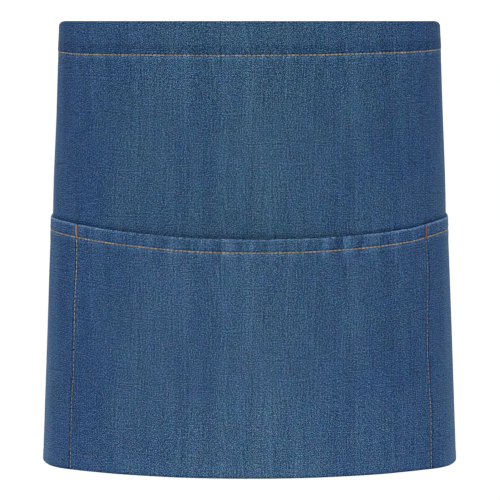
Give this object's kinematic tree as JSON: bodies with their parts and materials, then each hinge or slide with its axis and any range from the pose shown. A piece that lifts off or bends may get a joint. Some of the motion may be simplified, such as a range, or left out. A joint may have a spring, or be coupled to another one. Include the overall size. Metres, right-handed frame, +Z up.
{
  "type": "waist apron",
  "caption": "Denim waist apron, shown wrapped round the hips: straight panel with a full-width divided pouch pocket, turned hems, and ties knotted behind.",
  "frame": {"origin": "the centre of the waist opening, half-way up the waistband", "axes": "+Z up, -Y the front of the apron, +X to the right of someone who looks at the front"},
  "size_m": [0.3776, 0.2273, 0.4],
  "materials": {
    "denim": "washed indigo twill, matt, with pale slubs and worn edges",
    "thread": "spun sewing thread, satin"
  },
  "bodies": {
    "root": {"apron_panel": "denim", "waistband": "denim", "bottom_hem": "denim", "side_hem_left": "denim", "side_hem_right": "denim", "pocket_panel": "denim", "pocket_hem": "denim", "bar_tack_left": "thread", "bar_tack_right": "thread", "tie_left": "denim", "tie_right": "denim", "tie_knot": "denim", "tie_tail_left": "denim", "tie_tail_right": "denim"}
  },
  "joints": []
}
